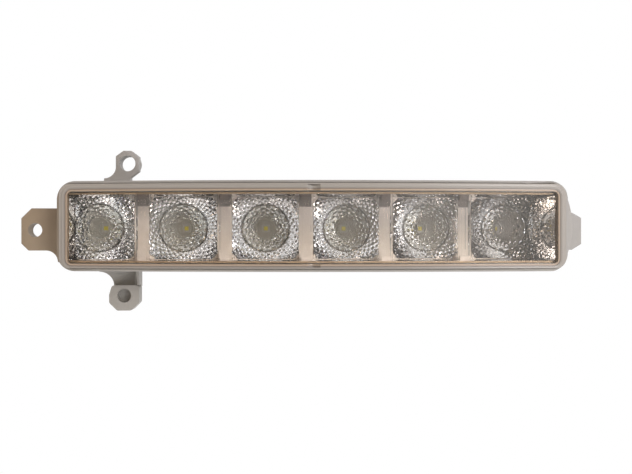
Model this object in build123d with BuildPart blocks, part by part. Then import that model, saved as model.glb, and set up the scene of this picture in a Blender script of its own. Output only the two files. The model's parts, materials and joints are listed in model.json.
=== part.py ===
from build123d import *
import os
from math import cos, pi, radians, sin, sqrt

# Car daytime running light: a bowed clear lens on a grey housing with fixing ears,
# six side-by-side collimators in a metallised bezel, and the LED board behind them.
# Frame: +X to the right seen from the front, +Z up, light leaves towards -Y.
# The origin is in front of the window's middle, on the lens's outer face. All sizes are in millimetres.

# Window, the opening in the housing that the bezel fills, and the bowed front over it
window_length = 202.6
window_height = 29.4
window_corner = 2.0
front_radius = 850.0
sweep_angle = 4.0

# Rim of the housing, outwards from the window: wall, sealing groove, lip.
# It sits a little higher than the window, and its right end bulges.
rim_wall = 1.2
groove_width = 1.5
rim_lip = 1.1
rim_rise = 0.6
rim_corner = 7.5
end_bulge = 1.9
groove_floor = 7.0
flange_thickness = 1.8
lip_setback = 0.9

# Outer lens, its leg in the groove and the two moulding-gate recesses in its rim
lens_thickness = 2.4
lens_edge_gap = 0.15
lens_seat_gap = 0.15
lens_edge_chamfer = 0.8
leg_thickness = 1.0
leg_end = 6.0
gate_radius = 4.0
gate_depth = 1.0
gate_height = 2.6
gate_from_window = 0.7

# Housing body
body_wall = 2.0
body_draft = 1.0
back_wall = 2.0
rear_chamfer = 2.0
gusset_thickness = 1.6
gusset_length = 7.0
gusset_count = 6

# Reflector bezel, a metallised tray round the collimators
bezel_gap = 0.3
bezel_wall = 0.8
bezel_lens_gap = 1.0
bezel_floor = 1.2
floor_setback = 7.2
cell_ledge = 0.8
post_width = 5.4
post_height = 4.2
hook_width = 4.0
hook_reach = 1.3
hook_thickness = 1.4
foot_size = 4.4
peg_size = 2.4
peg_hole_gap = 0.15
peg_spread = 14.0
stake_size = 4.0
stake_height = 1.0
stake_edge = 0.6

# Row of LEDs and the collimator bar in front of them
led_count = 6
first_led_in = 11.4
last_led_in = 14.7
strip_width = 6.3
optic_front = 24.0
bar_gap = 0.2
block_height = 1.6
web_thickness = 1.6
cell_edge = 0.8
dais_radius = 10.2
dais_step = 0.4
cup_sides = 20
cup_length = 15.0
cup_front_radius = 17.0
cup_rear_radius = 4.1
cup_bulge = 0.5
pocket_radius = 2.9
pocket_depth = 4.1
centre_lens_radius = 4.6
centre_lens_flat = 1.8
centre_lens_height = 0.9
pillow_rings = 2
pillow_ring_pitch = 2.55
pillow_pitch = 4.6
pillow_gap = 0.3
pillow_height = 0.5
pillow_root = 0.2
corner_pillow = 3.6
corner_pillow_in = 1.6

# LED board and what is on it
board_gap = 0.5
board_end_gap = 3.3
board_side_gap = 2.0
board_thickness = 1.6
led_size = 3.5
led_height = 0.8
phosphor_size = 1.7
phosphor_height = 0.4
pad_thickness = 0.4
pad_inset = 1.0

# Heat sink, a folded aluminium channel behind the board
sink_thickness = 2.0
sink_fold = 8.0
sink_bend = 1.0
sink_to_back = 1.5

# Board screws
screw_radius = 1.5
screw_hole_gap = 0.2
screw_head_radius = 2.8
screw_head_height = 2.0
screw_length = 9.5
boss_size = 6.8

# Connector: a shroud on the back with three blade terminals moulded in
connector_length = 24.0
connector_height = 14.6
connector_wall = 1.8
connector_depth = 14.0
connector_round = 3.0
latch_width = 5.0
latch_height = 1.2
latch_length = 4.0
latch_from_mouth = 3.0
terminal_pitch = 5.0
terminal_count = 3
terminal_width = 1.5
terminal_thickness = 0.64
terminal_tip = 0.2
terminal_reach = 10.0
terminal_solder = 0.9
terminal_hole_gap = 0.2
sink_window_margin = 2.0

# Breather on the back
vent_boss_size = 12.0
vent_boss_height = 1.5
vent_hole_size = 2.8
membrane_size = 8.8
membrane_gap = 0.2
membrane_thickness = 0.4

# Fixing ears. Each ear is a plate square to the light's axis.
ear_front = 27.0
ear_thickness = 3.5
left_bore_radius = 3.0
top_bore_radius = 3.4
ear_collar_radius = 5.0
ear_bore_length = 6.0
ear_rib = 2.0
ear_rib_length = 12.0

left_hole_out = 16.9
left_hole_z = -0.9
left_tip_out = 22.7
left_top_z = 8.5
left_bottom_z = -9.7
left_top_chamfer = 4.3
left_bottom_chamfer = 3.0
left_root_out = 7.4
left_root_fillet = 5.0

top_hole_in = 22.1
top_hole_z = 28.1
top_left_reach = 5.0
top_right_reach = 4.9
top_tip_z = 33.6
top_chamfer_x = 3.2
top_chamfer_z = 2.4
top_neck_z = 22.0
top_neck_rise = 2.7
top_neck_step = 3.5
top_flare = 5.0
top_flare_z = 26.6

boss_hole_in = 20.7
boss_hole_z = -29.3
boss_bore_radius = 3.0
boss_bore_depth = 4.0
boss_depth = 6.0
boss_width = 12.8
boss_tip_z = -35.8
boss_chamfer = 3.4
boss_top_z = -24.8
boss_shoulder_in = 1.2
boss_shoulder_down = 4.0
boss_round = 1.5
arm_setback = 4.0
arm_thickness = 3.0
arm_rib = 1.6
arm_flare = 6.5
arm_flare_z = -25.6

tongue_front = 12.0
tongue_thickness = 3.0
tongue_root_out = 11.3
tongue_tip_out = 15.5
tongue_root_top_z = 6.7
tongue_root_bottom_z = -9.4
tongue_tip_top_z = 4.4
tongue_tip_bottom_z = -6.9
tongue_rib_length = 14.0

# Electronics on the board: length, height and thickness of each package
driver_size = (6.6, 6.1, 2.3)
diode_size = (4.6, 3.9, 2.3)
suppressor_size = (5.6, 3.9, 2.4)
capacitor_size = (4.5, 3.2, 2.0)
resistor_size = (6.3, 3.2, 0.6)
side_row_in = 4.3

# Values worked out from the sizes above
bow_axis_x = front_radius * sin(radians(sweep_angle))
bow_axis_y = front_radius * cos(radians(sweep_angle))
groove_out = rim_wall + groove_width
flange_out = groove_out + rim_lip
flange_back = groove_floor + flange_thickness
leg_in = rim_wall + (groove_width - leg_thickness) / 2
rim_front = lens_thickness + lens_seat_gap
bezel_out = -bezel_gap
bezel_in = -bezel_gap - bezel_wall
bar_out = bezel_in - bar_gap
bar_height = window_height + 2 * bar_out

web_front = optic_front + block_height
web_back = web_front + web_thickness
cup_back = optic_front + cup_length
floor_front = optic_front + floor_setback
floor_back = floor_front + bezel_floor
board_front = cup_back + board_gap
board_back = board_front + board_thickness
pad_back = board_back + pad_thickness
sink_back = pad_back + sink_thickness
fold_back = pad_back + sink_fold
cavity_back = fold_back + sink_to_back
housing_back = cavity_back + back_wall
connector_back = housing_back + connector_depth

window_left = -window_length / 2
window_right = window_length / 2
window_top = window_height / 2
board_length = window_length - 2 * board_end_gap
board_height = window_height - 2 * board_side_gap
side_row_z = board_height / 2 - side_row_in

led_pitch = (window_length - first_led_in - last_led_in) / (led_count - 1)
cell_width = led_pitch - strip_width
led_places = [window_left + first_led_in + i * led_pitch for i in range(led_count)]
strip_places = [x + led_pitch / 2 for x in led_places[:-1]]
screw_places = strip_places[0::4]
peg_places = strip_places[1::2]
connector_x = strip_places[3]
first_terminal = connector_x - (terminal_count - 1) / 2 * terminal_pitch
terminal_places = [first_terminal + i * terminal_pitch for i in range(terminal_count)]
gusset_places = [(i - (gusset_count - 1) / 2) * window_length / gusset_count for i in range(gusset_count)]
vent_x = led_places[1]

left_hole_x = window_left - left_hole_out
left_tip_x = window_left - left_tip_out
left_root_x = window_left - left_root_out
top_hole_x = window_left + top_hole_in
top_left_x = top_hole_x - top_left_reach
top_right_x = top_hole_x + top_right_reach
boss_hole_x = window_left + boss_hole_in
arm_left = boss_hole_x - boss_width / 2
arm_right = boss_hole_x + boss_width / 2
flare_x = arm_left + boss_shoulder_in
tongue_root_x = window_right + tongue_root_out
tongue_tip_x = window_right + tongue_tip_out

# Reach of the cutting tools, well clear of the lamp on every side
tool_back = 90.0
tool_depth = 140.0
tool_height = 200.0

os.makedirs("parts", exist_ok=True)


def at_depth(y):
    """Upright sketch plane at depth y, seen from the front: sketch x is X, sketch y is Z."""
    return Plane.XZ.offset(-y)


def window_outline(grow, mode=Mode.ADD):
    """Outline of the window, grown by an even margin."""
    length = window_length + 2 * grow
    height = window_height + 2 * grow
    corner = max(window_corner + grow, 0.5)
    return RectangleRounded(length, height, corner, mode=mode)


def behind_front(depth):
    """All the space that lies deeper than depth behind the bowed front surface."""
    with BuildPart(Plane((bow_axis_x, bow_axis_y, 0))) as body:
        Cylinder(front_radius - depth, tool_height)
    return body.part


def bow_depth(x):
    """Depth of the bowed front surface at a place along the lamp."""
    return bow_axis_y - sqrt(front_radius**2 - (x - bow_axis_x) ** 2)


def rim_outline(grow, mode=Mode.ADD):
    """Outline in the rim: the window's, grown by an even margin and raised."""
    with Locations((0, rim_rise)):
        return window_outline(grow, mode)


def rim_sketch(inner, outer):
    """Sketch of a ring in the rim, between two margins round the window."""
    with BuildSketch(at_depth(tool_back)) as ring:
        rim_outline(outer)
        rim_outline(inner, Mode.SUBTRACT)
    return ring.sketch


def lip_sketch():
    """Sketch of the rim's outer outline: rounded corners, and a right end that bulges."""
    length = window_length + 2 * flange_out
    height = window_height + 2 * flange_out
    end_x = length / 2
    end_low = rim_rise - height / 2 + rim_corner
    end_high = rim_rise + height / 2 - rim_corner
    with BuildSketch(at_depth(tool_back)) as outline:
        with Locations((0, rim_rise)):
            RectangleRounded(length, height, rim_corner)
        with BuildLine():
            ThreePointArc((end_x, end_low), (end_x + end_bulge, rim_rise), (end_x, end_high))
            Line((end_x, end_high), (end_x, end_low))
        make_face()
    return outline.sketch


def bowed_slab(sketch, near, far):
    """Part of a sketch's prism that lies between two depths behind the bowed front."""
    nearer = behind_front(near)
    farther = behind_front(far)
    with BuildPart() as slab:
        extrude(sketch, amount=tool_depth)
        add(nearer, mode=Mode.INTERSECT)
        add(farther, mode=Mode.SUBTRACT)
    return slab.part


def write(builder, name):
    """Name a finished piece and write it out."""
    builder.part.label = name
    export_step(builder.part, f"parts/{name}.step")


# Outer lens: bowed clear plate with an eased edge, a leg all round and two gate recesses
front_face = behind_front(0)
lens_inside = behind_front(lens_thickness)
lens_leg = bowed_slab(rim_sketch(leg_in, leg_in + leg_thickness), lens_thickness / 2, leg_end)
gate_reach = window_top + gate_from_window
with BuildPart() as outer_lens:
    with BuildSketch(at_depth(tool_back)):
        rim_outline(groove_out - lens_edge_gap)
    extrude(amount=tool_depth)
    add(front_face, mode=Mode.INTERSECT)
    add(lens_inside, mode=Mode.SUBTRACT)
    bowed_faces = outer_lens.faces().filter_by(GeomType.CYLINDER)
    chamfer(bowed_faces.sort_by(SortBy.AREA)[-1].edges(), lens_edge_chamfer)
    add(lens_leg)
    for z in (rim_rise + gate_reach, rim_rise - gate_reach):
        with Locations((0, gate_depth - gate_radius, z)):
            Cylinder(gate_radius, gate_height, mode=Mode.SUBTRACT)
write(outer_lens, "outer_lens")

# Sealant: the bead on the groove's floor that the lens's leg is pressed down on
sealant_bead = bowed_slab(rim_sketch(rim_wall, groove_out), leg_end, groove_floor)
with BuildPart() as lens_sealant:
    add(sealant_bead)
write(lens_sealant, "lens_sealant")

# Housing: one moulding with the grooved rim, the fixing ears, the connector shroud and the bosses
behind_groove = behind_front(groove_floor)
rim_floor = bowed_slab(lip_sketch(), groove_floor, flange_back)
lip_block = bowed_slab(lip_sketch(), lip_setback, groove_floor)
groove_tool = bowed_slab(rim_sketch(rim_wall, groove_out), -tool_back, groove_floor)
inner_tool = bowed_slab(rim_sketch(-window_top / 2, groove_out), -tool_back, rim_front)
ear_back = ear_front + ear_thickness
with BuildPart() as housing:
    with BuildSketch(at_depth(housing_back)):
        window_outline(body_wall)
    extrude(amount=tool_depth, taper=-body_draft)
    chamfer(housing.faces().sort_by(Axis.Y)[-1].edges(), rear_chamfer)

    # Left ear
    with BuildSketch(at_depth(ear_back)):
        with BuildLine():
            Polyline(
                (left_root_x, left_bottom_z - left_root_fillet),
                (window_left, left_bottom_z - left_root_fillet),
                (window_left, left_top_z),
                (left_tip_x + left_top_chamfer, left_top_z),
                (left_tip_x, left_top_z - left_top_chamfer),
                (left_tip_x, left_bottom_z + left_bottom_chamfer),
                (left_tip_x + left_bottom_chamfer, left_bottom_z),
                (left_root_x - left_root_fillet, left_bottom_z),
            )
            RadiusArc(
                (left_root_x - left_root_fillet, left_bottom_z),
                (left_root_x, left_bottom_z - left_root_fillet),
                left_root_fillet,
            )
        make_face()
    extrude(amount=ear_thickness)

    # Top ear
    with BuildSketch(at_depth(ear_back)):
        with BuildLine():
            Polyline(
                (top_left_x - top_flare, top_flare_z - top_flare),
                (top_left_x - top_flare, 0),
                (top_right_x - top_neck_step, 0),
                (top_right_x - top_neck_step, top_neck_z),
                (top_right_x, top_neck_z + top_neck_rise),
                (top_right_x, top_tip_z - top_chamfer_z),
                (top_right_x - top_chamfer_x, top_tip_z),
                (top_left_x + top_chamfer_x, top_tip_z),
                (top_left_x, top_tip_z - top_chamfer_z),
                (top_left_x, top_flare_z),
            )
            RadiusArc((top_left_x, top_flare_z), (top_left_x - top_flare, top_flare_z - top_flare), top_flare)
        make_face()
    extrude(amount=ear_thickness)

    # Collars round the two bolt bores
    with BuildSketch(at_depth(ear_front + ear_bore_length)):
        with Locations((left_hole_x, left_hole_z), (top_hole_x, top_hole_z)):
            Circle(ear_collar_radius)
    extrude(amount=ear_bore_length - ear_thickness / 2)

    # Ribs that tie the ears to the body
    with BuildSketch(at_depth(ear_front + ear_rib_length)):
        with Locations((left_root_x, left_top_z - ear_rib / 2), (left_root_x, left_bottom_z + ear_rib / 2)):
            Rectangle(2 * (window_left - left_root_x), ear_rib)
        with Locations((top_left_x + ear_rib / 2, (top_neck_z + window_top) / 2)):
            Rectangle(ear_rib, top_neck_z - window_top)
    extrude(amount=ear_rib_length - ear_thickness / 2)

    # Lower boss on its ribbed arm
    with BuildSketch(at_depth(ear_front + boss_depth)):
        with BuildLine():
            FilletPolyline(
                (arm_left + boss_shoulder_in, boss_top_z),
                (arm_left, boss_top_z - boss_shoulder_down),
                (arm_left, boss_tip_z + boss_chamfer),
                (arm_left + boss_chamfer, boss_tip_z),
                (arm_right - boss_chamfer, boss_tip_z),
                (arm_right, boss_tip_z + boss_chamfer),
                (arm_right, boss_top_z),
                radius=boss_round,
                close=True,
            )
        make_face()
    extrude(amount=boss_depth)
    with BuildSketch(at_depth(ear_front + arm_setback + arm_thickness)):
        with BuildLine():
            Polyline(
                (flare_x, arm_flare_z),
                (arm_right, arm_flare_z),
                (arm_right, 0),
                (flare_x - arm_flare, 0),
                (flare_x - arm_flare, arm_flare_z + arm_flare),
            )
            RadiusArc((flare_x - arm_flare, arm_flare_z + arm_flare), (flare_x, arm_flare_z), arm_flare)
        make_face()
    extrude(amount=arm_thickness)
    with BuildSketch(at_depth(ear_front + arm_setback + arm_thickness)):
        with Locations((arm_right - arm_rib / 2, boss_top_z)):
            Rectangle(arm_rib, -boss_top_z, align=(Align.CENTER, Align.MIN))
    extrude(amount=arm_thickness + arm_setback)

    # Right tongue and its two ribs
    with BuildSketch(at_depth(tongue_front + tongue_thickness)):
        with BuildLine():
            Polyline(
                (window_right, tongue_root_bottom_z),
                (tongue_root_x, tongue_root_bottom_z),
                (tongue_tip_x, tongue_tip_bottom_z),
                (tongue_tip_x, tongue_tip_top_z),
                (tongue_root_x, tongue_root_top_z),
                (window_right, tongue_root_top_z),
                close=True,
            )
        make_face()
    extrude(amount=tongue_thickness)
    with BuildSketch(at_depth(tongue_front + tongue_rib_length)):
        tongue_mid_x = (window_right + tongue_root_x) / 2
        with Locations((tongue_mid_x, tongue_tip_top_z), (tongue_mid_x, tongue_tip_bottom_z)):
            Rectangle(tongue_root_x - window_right, ear_rib)
    extrude(amount=tongue_rib_length - tongue_thickness / 2)

    # Gussets between the rim and the body, along both long sides
    for x in gusset_places:
        rim_back = bow_depth(x) + flange_back
        for side in (1, -1):
            rim_edge = rim_rise + side * (window_top + flange_out)
            with BuildSketch(Plane.YZ.offset(x - gusset_thickness / 2)):
                with BuildLine():
                    Polyline(
                        (bow_depth(x), 0),
                        (bow_depth(x), rim_edge),
                        (rim_back, rim_edge),
                        (rim_back + gusset_length, side * (window_top + body_wall)),
                        (rim_back + gusset_length, 0),
                        close=True,
                    )
                make_face()
            extrude(amount=gusset_thickness)

    add(behind_groove, mode=Mode.INTERSECT)
    add(rim_floor)
    add(lip_block)
    add(inner_tool, mode=Mode.SUBTRACT)
    add(groove_tool, mode=Mode.SUBTRACT)

    # Connector shroud with its latch ramp, and the breather's boss
    with BuildSketch(at_depth(connector_back)):
        with Locations((connector_x, 0)):
            RectangleRounded(connector_length, connector_height, connector_round)
    extrude(amount=connector_depth + back_wall / 2)
    with BuildSketch(at_depth(connector_back)):
        with Locations((connector_x, 0)):
            RectangleRounded(
                connector_length - 2 * connector_wall,
                connector_height - 2 * connector_wall,
                connector_round - connector_wall,
            )
    extrude(amount=connector_depth, mode=Mode.SUBTRACT)
    with BuildSketch(at_depth(connector_back - latch_from_mouth)):
        with Locations((connector_x, connector_height / 2)):
            Rectangle(latch_width, 2 * latch_height)
        with Locations((connector_x, 0)):
            Rectangle(connector_length, connector_height - connector_wall, mode=Mode.SUBTRACT)
    extrude(amount=latch_length)
    with BuildSketch(at_depth(housing_back + vent_boss_height)):
        with Locations((vent_x, 0)):
            Rectangle(vent_boss_size, vent_boss_size)
    extrude(amount=vent_boss_height + back_wall / 2)

    # Inside of the housing, with the bosses that the board screws bite into
    with BuildSketch(at_depth(cavity_back)):
        window_outline(0)
    extrude(amount=tool_depth, mode=Mode.SUBTRACT)
    with BuildSketch(at_depth(cavity_back + back_wall / 2)):
        with Locations(*[(x, 0) for x in screw_places]):
            Rectangle(boss_size, boss_size)
    extrude(amount=cavity_back + back_wall / 2 - sink_back)

    # Bores
    with BuildSketch(at_depth(tool_back)):
        with Locations((left_hole_x, left_hole_z)):
            Circle(left_bore_radius)
        with Locations((top_hole_x, top_hole_z)):
            Circle(top_bore_radius)
    extrude(amount=tool_depth, mode=Mode.SUBTRACT)
    with BuildSketch(at_depth(ear_front + boss_bore_depth)):
        with Locations((boss_hole_x, boss_hole_z)):
            Circle(boss_bore_radius)
    extrude(amount=tool_depth, mode=Mode.SUBTRACT)
    with BuildSketch(at_depth(board_front + screw_length)):
        with Locations(*[(x, 0) for x in screw_places]):
            Circle(screw_radius)
    extrude(amount=tool_depth, mode=Mode.SUBTRACT)
    with BuildSketch(at_depth(housing_back)):
        with Locations(*[(x, 0) for x in terminal_places]):
            Rectangle(terminal_width, terminal_thickness)
    extrude(amount=back_wall, mode=Mode.SUBTRACT)
    with BuildSketch(at_depth(tool_back)):
        with Locations((vent_x, 0)):
            Rectangle(vent_hole_size, vent_hole_size)
    extrude(amount=tool_back - cavity_back, mode=Mode.SUBTRACT)
    with BuildSketch(at_depth(housing_back + vent_boss_height)):
        with Locations((vent_x, 0)):
            Rectangle(membrane_size + 2 * membrane_gap, membrane_size + 2 * membrane_gap)
    extrude(amount=membrane_thickness, mode=Mode.SUBTRACT)
write(housing, "housing")

# Breather membrane in its recess
with BuildPart() as vent_membrane:
    with BuildSketch(at_depth(housing_back + vent_boss_height)):
        with Locations((vent_x, 0)):
            Rectangle(membrane_size, membrane_size)
    extrude(amount=membrane_thickness)
write(vent_membrane, "vent_membrane")

# Pillows: rings of low hipped facets round the centre lens, and one in each corner of the cell
cell_front = optic_front + dais_step
corner_x = (cell_width - corner_pillow) / 2 - corner_pillow_in
corner_z = (bar_height - corner_pillow) / 2 - corner_pillow_in
with BuildPart() as pillows:
    for ring in range(pillow_rings):
        ring_radius = centre_lens_radius + (ring + 0.5) * pillow_ring_pitch
        count = round(2 * pi * ring_radius / pillow_pitch)
        pillow_width = 2 * pi * (ring_radius - pillow_ring_pitch / 2) / count - pillow_gap
        with BuildSketch(at_depth(optic_front + pillow_root)):
            with PolarLocations(ring_radius, count):
                Rectangle(pillow_ring_pitch - pillow_gap, pillow_width)
        extrude(amount=pillow_root + pillow_height)
    with BuildSketch(at_depth(cell_front + pillow_root)):
        with GridLocations(2 * corner_x, 2 * corner_z, 2, 2):
            Rectangle(corner_pillow, corner_pillow)
    extrude(amount=pillow_root + pillow_height)
    tops = pillows.faces().filter_by(lambda face: face.normal_at().Y < -0.5)
    chamfer(tops.edges(), pillow_height)

# Collimator: a many-sided cup cut square to its cell, with a pocket for the LED at its rear and a
# round dais in front that carries the centre lens
cup_front = cell_front + cell_edge
cup_half = (cup_back - cup_front) / 2
cup_middle = (cup_front_radius + cup_rear_radius) / 2 + cup_bulge


def sloped_block(radius, base, end, inset, slope_length):
    """Many-sided block about the light's axis, from one depth to another, its far edges cut to a slope."""
    with BuildPart() as block:
        with BuildSketch(at_depth(base)):
            RegularPolygon(radius, cup_sides, major_radius=False)
        extrude(amount=base - end)
        far = block.faces().sort_by(Axis.Y)[-1 if end > base else 0]
        chamfer(far.edges(), inset, slope_length, reference=far)
    return block.part


mouth_inset = cup_front_radius - cup_middle
throat_inset = cup_middle - cup_rear_radius
cup_mouth = sloped_block(cup_front_radius, cell_front, cup_front + cup_half, mouth_inset, cup_half)
cup_throat = sloped_block(cup_middle, cup_front, cup_back, throat_inset, cup_half)
dais = sloped_block(dais_radius, cup_front, optic_front, dais_step, dais_step)
lens_tip = optic_front - centre_lens_height
lens_slope_in = centre_lens_radius - centre_lens_flat
centre_lens = sloped_block(centre_lens_radius, cell_front, lens_tip, lens_slope_in, centre_lens_height)
with BuildPart() as collimator:
    add(cup_mouth)
    add(cup_throat)
    with BuildSketch(at_depth(tool_back)):
        Rectangle(cell_width, bar_height)
    extrude(amount=tool_depth, mode=Mode.INTERSECT)
    with BuildSketch(at_depth(cup_front)):
        Rectangle(cell_width, bar_height)
    extrude(amount=cell_edge)
    add(dais)
    add(centre_lens)
    with BuildSketch(at_depth(cup_back)):
        RegularPolygon(pocket_radius, cup_sides, major_radius=False)
    extrude(amount=pocket_depth, mode=Mode.SUBTRACT)
    add(pillows.part)

# Collimator bar: one clear moulding, six square collimators joined by thin strips
with BuildPart() as collimator_bar:
    with BuildSketch(at_depth(web_back)):
        with Locations(*[(x, 0) for x in strip_places]):
            Rectangle(strip_width, bar_height)
    extrude(amount=web_thickness)
    with Locations(*[(x, 0, 0) for x in led_places]):
        add(collimator.part)
    with BuildSketch(at_depth(tool_back)):
        window_outline(bar_out)
    extrude(amount=tool_depth, mode=Mode.INTERSECT)
write(collimator_bar, "collimator_bar")

# Reflector bezel: a metallised tray with an opening for each cell, posts and hooks that hold the
# collimator bar, and feet with pegs that are staked behind the heat sink
bezel_front = behind_front(lens_thickness + bezel_lens_gap)
peg_points = [(x, z) for x in peg_places for z in (peg_spread / 2, -peg_spread / 2)]
with BuildPart() as reflector_bezel:
    with BuildSketch(at_depth(floor_back)):
        window_outline(bezel_out)
    extrude(amount=tool_depth)
    with BuildSketch(at_depth(floor_front)):
        window_outline(bezel_in)
    extrude(amount=tool_depth, mode=Mode.SUBTRACT)
    add(bezel_front, mode=Mode.INTERSECT)
    with BuildSketch(at_depth(floor_back)):
        with Locations(*[(x, 0) for x in led_places]):
            Rectangle(cell_width - 2 * cell_ledge, bar_height - 2 * cell_ledge)
        window_outline(bezel_in, Mode.INTERSECT)
    extrude(amount=bezel_floor, mode=Mode.SUBTRACT)

    post_z = window_top + bezel_in
    hook_points = [(x, z) for x in strip_places for z in (post_z, -post_z)]
    with BuildSketch(at_depth(floor_front)):
        with Locations(*hook_points):
            Rectangle(post_width, 2 * post_height)
        window_outline(bezel_in + bezel_wall / 2, Mode.INTERSECT)
    extrude(amount=floor_front - web_back)
    with BuildSketch(at_depth(web_front)):
        with Locations(*hook_points):
            Rectangle(hook_width, 2 * hook_reach)
        window_outline(bezel_in + bezel_wall / 2, Mode.INTERSECT)
    extrude(amount=hook_thickness)

    with BuildSketch(at_depth(board_front)):
        with Locations(*peg_points):
            Rectangle(foot_size, foot_size)
    extrude(amount=board_front - floor_front)
    with BuildSketch(at_depth(sink_back)):
        with Locations(*peg_points):
            Rectangle(peg_size, peg_size)
    extrude(amount=sink_back - board_front)
    with BuildSketch(at_depth(sink_back)):
        with Locations(*peg_points):
            Rectangle(stake_size, stake_size)
    extrude(amount=-stake_height)
    chamfer(reflector_bezel.faces().group_by(Axis.Y)[-1].edges(), stake_edge)
write(reflector_bezel, "reflector_bezel")


def peg_holes(back):
    """Sketch of the square holes for the bezel's pegs, on the back of one layer."""
    with BuildSketch(at_depth(back)) as holes:
        with Locations(*peg_points):
            Rectangle(peg_size + 2 * peg_hole_gap, peg_size + 2 * peg_hole_gap)
    return holes.sketch


def punched_holes(back):
    """Sketch of the square holes for screws and terminals, on the back of one layer behind the board."""
    screw_hole = 2 * (screw_radius + screw_hole_gap)
    span = (terminal_count - 1) * terminal_pitch + terminal_width
    with BuildSketch(at_depth(back)) as holes:
        with Locations(*[(x, 0) for x in screw_places]):
            Rectangle(screw_hole, screw_hole)
        with Locations((connector_x, 0)):
            Rectangle(span + 2 * sink_window_margin, terminal_thickness + 2 * sink_window_margin)
    return holes.sketch


# LED board
with BuildPart() as led_board:
    with BuildSketch(at_depth(board_back)):
        Rectangle(board_length, board_height)
    extrude(amount=board_thickness)
    extrude(peg_holes(board_back), amount=board_thickness, mode=Mode.SUBTRACT)
    with BuildSketch(at_depth(board_back)):
        with Locations(*[(x, 0) for x in screw_places]):
            Circle(screw_radius + screw_hole_gap)
        with Locations(*[(x, 0) for x in terminal_places]):
            Rectangle(terminal_width + 2 * terminal_hole_gap, terminal_thickness + 2 * terminal_hole_gap)
    extrude(amount=board_thickness, mode=Mode.SUBTRACT)
write(led_board, "led_board")

# Thermal pad between the board and the heat sink
with BuildPart() as thermal_pad:
    with BuildSketch(at_depth(pad_back)):
        Rectangle(board_length - 2 * pad_inset, board_height - 2 * pad_inset)
    extrude(amount=pad_thickness)
    extrude(peg_holes(pad_back), amount=pad_thickness, mode=Mode.SUBTRACT)
    extrude(punched_holes(pad_back), amount=pad_thickness, mode=Mode.SUBTRACT)
write(thermal_pad, "thermal_pad")

# Heat sink: aluminium sheet folded back along both long edges
with BuildPart() as heat_sink:
    with BuildSketch(Plane.YZ.offset(-board_length / 2)):
        with Locations(((pad_back + fold_back) / 2, 0)):
            Rectangle(sink_fold, board_height)
    extrude(amount=board_length)
    folds = heat_sink.edges().filter_by(Axis.X).group_by(Axis.Y)[0]
    fillet(folds, sink_bend + sink_thickness)
    with BuildSketch(Plane.YZ.offset(-board_length / 2)):
        with Locations(((sink_back + fold_back + sink_fold) / 2, 0)):
            Rectangle(fold_back + sink_fold - sink_back, board_height - 2 * sink_thickness)
    extrude(amount=board_length, mode=Mode.SUBTRACT)
    inner_bends = heat_sink.faces().filter_by(Axis.Y).sort_by(Axis.Y)[1].edges().filter_by(Axis.X)
    fillet(inner_bends, sink_bend)
    extrude(peg_holes(sink_back), amount=sink_thickness, mode=Mode.SUBTRACT)
    extrude(punched_holes(sink_back), amount=sink_thickness, mode=Mode.SUBTRACT)
write(heat_sink, "heat_sink")

# LEDs: a square package with a raised square of phosphor
led_front = board_front - led_height
for number, x in enumerate(led_places, start=1):
    with BuildPart() as led:
        with BuildSketch(at_depth(board_front)):
            with Locations((x, 0)):
                Rectangle(led_size, led_size)
        extrude(amount=led_height)
        with BuildSketch(at_depth(led_front)):
            with Locations((x, 0)):
                Rectangle(phosphor_size, phosphor_size)
        extrude(amount=phosphor_height)
    write(led, f"led_{number}")

# Board screws: hexagon head, biting into the housing's bosses
with BuildPart() as board_screws:
    with BuildSketch(at_depth(board_front)):
        with Locations(*[(x, 0) for x in screw_places]):
            RegularPolygon(screw_head_radius, 6)
    extrude(amount=screw_head_height)
    with BuildSketch(at_depth(board_front + screw_length)):
        with Locations(*[(x, 0) for x in screw_places]):
            Circle(screw_radius)
    extrude(amount=screw_length)
write(board_screws, "board_screws")

# Terminals: flat blades from the connector through the back wall to the board
for number, x in enumerate(terminal_places, start=1):
    with BuildPart() as terminal:
        with BuildSketch(at_depth(housing_back + terminal_reach)):
            with Locations((x, 0)):
                Rectangle(terminal_width, terminal_thickness)
        extrude(amount=housing_back + terminal_reach - board_front + terminal_solder)
        tip_edges = terminal.faces().sort_by(Axis.Y)[-1].edges().filter_by(Axis.X)
        chamfer(tip_edges, terminal_tip)
    write(terminal, f"terminal_{number}")


def package(name, place, size):
    """One electronic package on the front of the board, its edges eased."""
    length, height, thickness = size
    with BuildPart() as body:
        with BuildSketch(at_depth(board_front)):
            with Locations(place):
                Rectangle(length, height)
        extrude(amount=thickness)
        chamfer(body.faces().sort_by(Axis.Y)[0].edges(), thickness / 6)
    write(body, name)


package("string_driver_1", (strip_places[1], 0), driver_size)
package("string_driver_2", (strip_places[4], side_row_z), driver_size)
package("reverse_diode", (strip_places[2], side_row_z), diode_size)
package("surge_suppressor", (strip_places[2], -side_row_z), suppressor_size)
package("input_capacitor", (strip_places[4], -side_row_z), capacitor_size)
package("sense_resistor_1", (strip_places[0], side_row_z), resistor_size)
package("sense_resistor_2", (strip_places[0], -side_row_z), resistor_size)
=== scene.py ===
import json
from math import atan2, hypot, pi, radians, sin

import bpy
from mathutils import Matrix, Vector


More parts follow.
